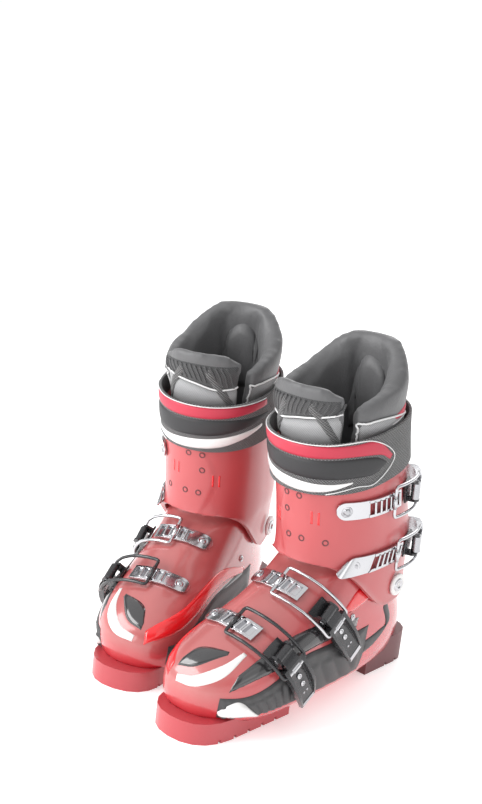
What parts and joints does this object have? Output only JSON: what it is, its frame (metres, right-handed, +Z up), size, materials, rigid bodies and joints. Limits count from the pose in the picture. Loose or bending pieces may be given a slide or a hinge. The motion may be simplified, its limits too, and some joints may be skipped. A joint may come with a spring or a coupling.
{
  "type": "pair of alpine ski boots",
  "caption": "Pair of alpine ski boots: hard shells, hinged cuffs and lever buckles that open, padded liners, power straps.",
  "frame": {"origin": "on the floor, under the middle of the pair's box", "axes": "+Z up; the toes point along -Y; the wearer's left boot is on the +X side"},
  "size_m": [0.2856, 0.3386, 0.34],
  "materials": {
    "red_shell": "glossy, slightly see-through",
    "red_cuff": "glossy, slightly see-through",
    "red_sole": "satin",
    "black_plastic": "satin",
    "liner_foam": "matt",
    "liner_leather": "satin",
    "webbing": "woven",
    "chrome": "polished",
    "dark_metal": "satin"
  },
  "bodies": {
    "boots": {"left_lower_shell": "red_shell", "left_toe_sole": "red_sole", "left_heel_sole": "red_sole", "left_boot_board": "black_plastic", "left_liner_foot": "liner_foam", "left_footbed": "liner_foam", "left_lateral_panel": "black_plastic", "left_medial_panel": "black_plastic", "left_lateral_pivot": "chrome", "left_medial_pivot": "chrome", "left_toe_ladder": "chrome", "left_toe_base": "dark_metal", "left_instep_ladder": "chrome", "left_instep_base": "dark_metal", "right_lower_shell": "red_shell", "right_toe_sole": "red_sole", "right_heel_sole": "red_sole", "right_boot_board": "black_plastic", "right_liner_foot": "liner_foam", "right_footbed": "liner_foam", "right_lateral_panel": "black_plastic", "right_medial_panel": "black_plastic", "right_lateral_pivot": "chrome", "right_medial_pivot": "chrome", "right_toe_ladder": "chrome", "right_toe_base": "dark_metal", "right_instep_ladder": "chrome", "right_instep_base": "dark_metal"},
    "left_cuff_body": {"left_cuff": "red_cuff", "left_liner_collar": "liner_leather", "left_liner_tongue": "liner_leather", "left_power_strap": "webbing", "left_ankle_ladder": "chrome", "left_ankle_base": "dark_metal", "left_calf_ladder": "chrome", "left_calf_base": "dark_metal"},
    "left_toe_lever_body": {"left_toe_lever": "dark_metal"},
    "left_toe_bail_body": {"left_toe_bail": "chrome"},
    "left_instep_lever_body": {"left_instep_lever": "dark_metal"},
    "left_instep_bail_body": {"left_instep_bail": "chrome"},
    "left_ankle_lever_body": {"left_ankle_lever": "dark_metal"},
    "left_ankle_bail_body": {"left_ankle_bail": "chrome"},
    "left_calf_lever_body": {"left_calf_lever": "dark_metal"},
    "left_calf_bail_body": {"left_calf_bail": "chrome"},
    "right_cuff_body": {"right_cuff": "red_cuff", "right_liner_collar": "liner_leather", "right_liner_tongue": "liner_leather", "right_power_strap": "webbing", "right_ankle_ladder": "chrome", "right_ankle_base": "dark_metal", "right_calf_ladder": "chrome", "right_calf_base": "dark_metal"},
    "right_toe_lever_body": {"right_toe_lever": "dark_metal"},
    "right_toe_bail_body": {"right_toe_bail": "chrome"},
    "right_instep_lever_body": {"right_instep_lever": "dark_metal"},
    "right_instep_bail_body": {"right_instep_bail": "chrome"},
    "right_ankle_lever_body": {"right_ankle_lever": "dark_metal"},
    "right_ankle_bail_body": {"right_ankle_bail": "chrome"},
    "right_calf_lever_body": {"right_calf_lever": "dark_metal"},
    "right_calf_bail_body": {"right_calf_bail": "chrome"}
  },
  "joints": [
    {"name": "left_cuff_flex", "type": "hinge", "parent": "boots", "child": "left_cuff_body", "pos_m": [0.08418, 0.07092, 0.097], "axis": [0.986, -0.1668, 0], "range_deg": [0, 2.5], "stiffness_Nm_per_rad": 200},
    {"name": "left_toe_lever_swing", "type": "hinge", "parent": "boots", "child": "left_toe_lever_body", "pos_m": [0.10565, -0.10259, 0.07383], "axis": [-0.1399, -0.8269, -0.5446], "range_deg": [0, 105]},
    {"name": "left_toe_bail_swing", "type": "hinge", "parent": "left_toe_lever_body", "child": "left_toe_bail_body", "pos_m": [0.1152, -0.09646, 0.06207], "axis": [0.1399, 0.8269, 0.5446], "range_deg": [0, 147]},
    {"name": "left_instep_lever_swing", "type": "hinge", "parent": "boots", "child": "left_instep_lever_body", "pos_m": [0.11542, -0.04586, 0.09526], "axis": [-0.1278, -0.7553, -0.6428], "range_deg": [0, 105]},
    {"name": "left_instep_bail_swing", "type": "hinge", "parent": "left_instep_lever_body", "child": "left_instep_bail_body", "pos_m": [0.1222, -0.03783, 0.08448], "axis": [0.1278, 0.7553, 0.6428], "range_deg": [0, 147]},
    {"name": "left_ankle_lever_swing", "type": "hinge", "parent": "left_cuff_body", "child": "left_ankle_lever_body", "pos_m": [0.13866, 0.07809, 0.13614], "axis": [0.0087, 0.0516, -0.9986], "range_deg": [0, 105]},
    {"name": "left_ankle_bail_swing", "type": "hinge", "parent": "left_ankle_lever_body", "child": "left_ankle_bail_body", "pos_m": [0.13529, 0.09224, 0.13684], "axis": [-0.0087, -0.0516, 0.9986], "range_deg": [0, 147]},
    {"name": "left_calf_lever_swing", "type": "hinge", "parent": "left_cuff_body", "child": "left_calf_lever_body", "pos_m": [0.13744, 0.05957, 0.19267], "axis": [0.0145, 0.0859, -0.9962], "range_deg": [0, 105]},
    {"name": "left_calf_bail_swing", "type": "hinge", "parent": "left_calf_lever_body", "child": "left_calf_bail_body", "pos_m": [0.13337, 0.07389, 0.19385], "axis": [-0.0145, -0.0859, 0.9962], "range_deg": [0, 147]},
    {"name": "right_cuff_flex", "type": "hinge", "parent": "boots", "child": "right_cuff_body", "pos_m": [-0.08418, 0.10192, 0.097], "axis": [0.986, 0.1668, 0], "range_deg": [0, 2.5], "stiffness_Nm_per_rad": 200},
    {"name": "right_toe_lever_swing", "type": "hinge", "parent": "boots", "child": "right_toe_lever_body", "pos_m": [-0.10565, -0.07159, 0.07383], "axis": [-0.1399, 0.8269, 0.5446], "range_deg": [0, 105]},
    {"name": "right_toe_bail_swing", "type": "hinge", "parent": "right_toe_lever_body", "child": "right_toe_bail_body", "pos_m": [-0.1152, -0.06546, 0.06207], "axis": [0.1399, -0.8269, -0.5446], "range_deg": [0, 147]},
    {"name": "right_instep_lever_swing", "type": "hinge", "parent": "boots", "child": "right_instep_lever_body", "pos_m": [-0.11542, -0.01486, 0.09526], "axis": [-0.1278, 0.7553, 0.6428], "range_deg": [0, 105]},
    {"name": "right_instep_bail_swing", "type": "hinge", "parent": "right_instep_lever_body", "child": "right_instep_bail_body", "pos_m": [-0.1222, -0.00683, 0.08448], "axis": [0.1278, -0.7553, -0.6428], "range_deg": [0, 147]},
    {"name": "right_ankle_lever_swing", "type": "hinge", "parent": "right_cuff_body", "child": "right_ankle_lever_body", "pos_m": [-0.13866, 0.10909, 0.13614], "axis": [0.0087, -0.0516, 0.9986], "range_deg": [0, 105]},
    {"name": "right_ankle_bail_swing", "type": "hinge", "parent": "right_ankle_lever_body", "child": "right_ankle_bail_body", "pos_m": [-0.13529, 0.12324, 0.13684], "axis": [-0.0087, 0.0516, -0.9986], "range_deg": [0, 147]},
    {"name": "right_calf_lever_swing", "type": "hinge", "parent": "right_cuff_body", "child": "right_calf_lever_body", "pos_m": [-0.13744, 0.09057, 0.19267], "axis": [0.0145, -0.0859, 0.9962], "range_deg": [0, 105]},
    {"name": "right_calf_bail_swing", "type": "hinge", "parent": "right_calf_lever_body", "child": "right_calf_bail_body", "pos_m": [-0.13337, 0.10489, 0.19385], "axis": [-0.0145, 0.0859, -0.9962], "range_deg": [0, 147]}
  ],
  "couplings": [
    {"joint": "left_toe_bail_swing", "follows": "left_toe_lever_swing", "ratio": 1.4},
    {"joint": "left_instep_bail_swing", "follows": "left_instep_lever_swing", "ratio": 1.4},
    {"joint": "left_ankle_bail_swing", "follows": "left_ankle_lever_swing", "ratio": 1.4},
    {"joint": "left_calf_bail_swing", "follows": "left_calf_lever_swing", "ratio": 1.4},
    {"joint": "right_toe_bail_swing", "follows": "right_toe_lever_swing", "ratio": 1.4},
    {"joint": "right_instep_bail_swing", "follows": "right_instep_lever_swing", "ratio": 1.4},
    {"joint": "right_ankle_bail_swing", "follows": "right_ankle_lever_swing", "ratio": 1.4},
    {"joint": "right_calf_bail_swing", "follows": "right_calf_lever_swing", "ratio": 1.4}
  ]
}
